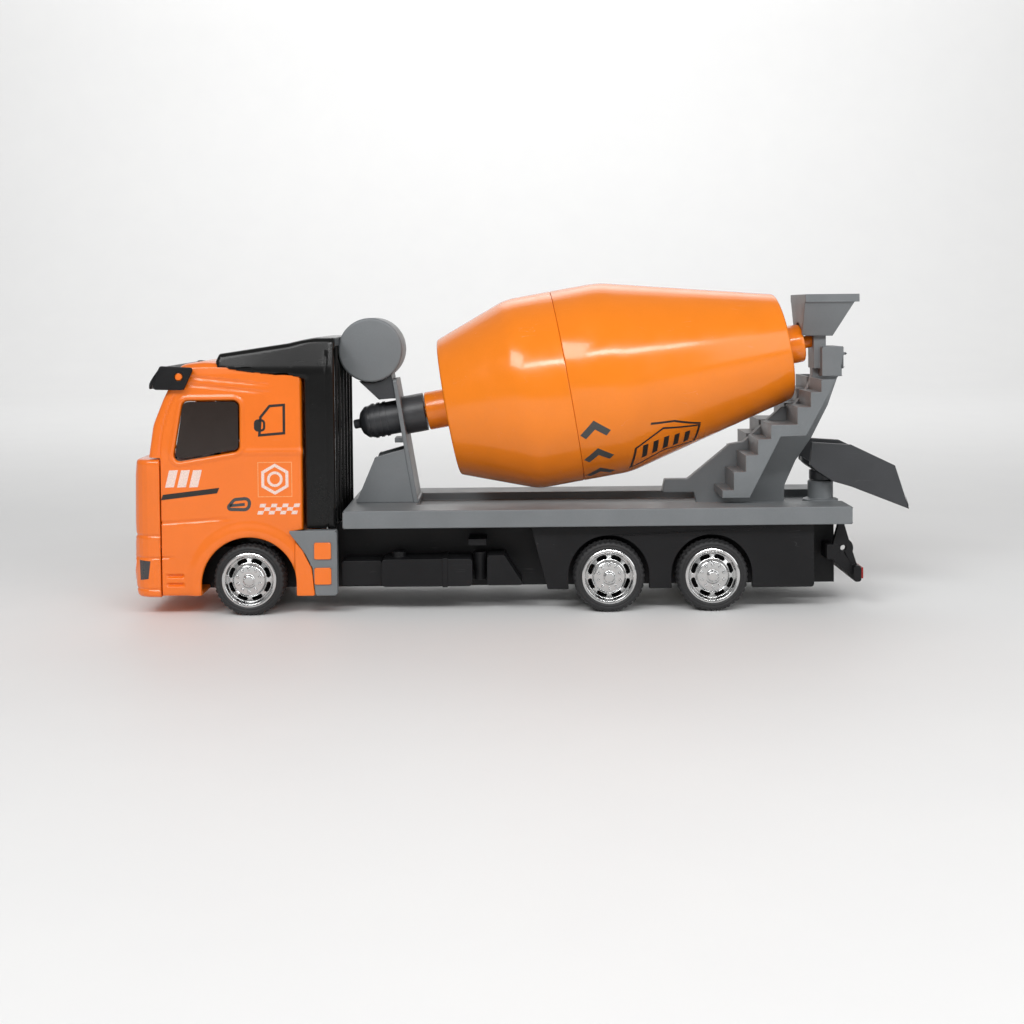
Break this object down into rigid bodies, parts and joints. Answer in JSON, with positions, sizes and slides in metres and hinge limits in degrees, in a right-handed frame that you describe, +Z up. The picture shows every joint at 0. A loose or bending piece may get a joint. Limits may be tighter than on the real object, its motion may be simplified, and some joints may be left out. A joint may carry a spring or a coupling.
{
  "type": "toy cement mixer truck",
  "caption": "Toy cement mixer truck with an orange cab and drum, a grey deck with stairs and a hopper, a swinging chute and a pull-back drive.",
  "frame": {"origin": "on the ground under the middle of the truck's bounding box", "axes": "+X towards the chute at the rear, so the cab faces -X; +Y to the truck's right side; +Z up"},
  "size_m": [0.246, 0.0626, 0.1023],
  "materials": {
    "orange_metal": "gloss enamel",
    "orange_plastic": "glossy moulded",
    "grey_plastic": "satin moulded",
    "dark_grey_plastic": "satin moulded",
    "black_gloss": "glossy moulded",
    "black_matte": "satin moulded",
    "chrome_rim": "vacuum chrome",
    "tyre": "soft rubber",
    "clear_screen": "clear moulded",
    "dark_glass": "smoked moulded",
    "smoke_lens": "smoked lens",
    "red_lens": "gloss lens",
    "white_plastic": "natural nylon",
    "steel": "plated"
  },
  "bodies": {
    "chassis": {"cab_shell": "orange_metal", "front_fascia": "orange_metal", "grille": "black_matte", "headlights": "smoke_lens", "windscreen": "clear_screen", "side_windows": "dark_glass", "cab_interior": "dark_grey_plastic", "steering_wheel": "black_matte", "sun_visor": "black_gloss", "rear_fairing": "black_gloss", "step_panel_left": "grey_plastic", "step_panel_right": "grey_plastic", "step_pads": "orange_metal", "chassis_frame": "black_matte", "base_plate": "black_matte", "base_screws": "steel", "fuel_tank": "black_matte", "air_tank": "black_matte", "battery_box": "black_matte", "mudguard_left": "black_matte", "mudguard_right": "black_matte", "rear_bumper": "black_matte", "tail_lamps": "red_lens", "deck": "grey_plastic", "front_pedestal": "grey_plastic", "water_tank": "grey_plastic", "tank_cradle": "dark_grey_plastic", "drum_motor": "dark_grey_plastic", "motor_cap": "dark_grey_plastic", "rear_support": "grey_plastic", "stairs_left": "grey_plastic", "stairs_right": "grey_plastic", "hopper": "grey_plastic", "chute_base": "grey_plastic", "motor_case": "white_plastic", "motor_cover": "white_plastic"},
    "front_wheels": {"front_axle": "steel", "tyre_front_left": "tyre", "tyre_front_right": "tyre", "rim_front_left": "chrome_rim", "rim_front_right": "chrome_rim"},
    "middle_wheels": {"middle_axle": "steel", "tyre_middle_left": "tyre", "tyre_middle_right": "tyre", "rim_middle_left": "chrome_rim", "rim_middle_right": "chrome_rim"},
    "rear_wheels": {"rear_axle": "steel", "tyre_rear_left": "tyre", "tyre_rear_right": "tyre", "rim_rear_left": "chrome_rim", "rim_rear_right": "chrome_rim", "drive_gear": "white_plastic"},
    "idler": {"idler_gear": "white_plastic"},
    "barrel": {"spring_barrel": "white_plastic", "mainspring": "steel"},
    "drum": {"drum_front_half": "orange_plastic", "drum_rear_half": "orange_plastic"},
    "chute": {"chute_post": "grey_plastic", "chute_trough": "dark_grey_plastic"}
  },
  "joints": [
    {"name": "front_axle_spin", "type": "hinge", "parent": "chassis", "child": "front_wheels", "pos_m": [-0.0858, 0, 0.0111], "axis": [0, 1, 0], "continuous": true},
    {"name": "middle_axle_spin", "type": "hinge", "parent": "chassis", "child": "middle_wheels", "pos_m": [0.0256, 0, 0.0111], "axis": [0, 1, 0], "continuous": true},
    {"name": "rear_axle_spin", "type": "hinge", "parent": "chassis", "child": "rear_wheels", "pos_m": [0.0576, 0, 0.0111], "axis": [0, 1, 0], "continuous": true},
    {"name": "idler_spin", "type": "hinge", "parent": "chassis", "child": "idler", "pos_m": [0.04997, 0, 0.0135], "axis": [0, 1, 0], "continuous": true},
    {"name": "barrel_spin", "type": "hinge", "parent": "chassis", "child": "barrel", "pos_m": [0.03909, 0, 0.0151], "axis": [0, 1, 0], "continuous": true},
    {"name": "drum_spin", "type": "hinge", "parent": "chassis", "child": "drum", "pos_m": [-0.0291, 0, 0.0616], "axis": [0.9854, 0, 0.1702], "continuous": true},
    {"name": "chute_swing", "type": "hinge", "parent": "chassis", "child": "chute", "pos_m": [0.0966, 0, 0.034], "axis": [0, 0, 1], "range_deg": [-45, 45]}
  ],
  "couplings": [
    {"joint": "idler_spin", "follows": "rear_axle_spin", "ratio": -0.6},
    {"joint": "barrel_spin", "follows": "rear_axle_spin", "ratio": 0.5}
  ]
}
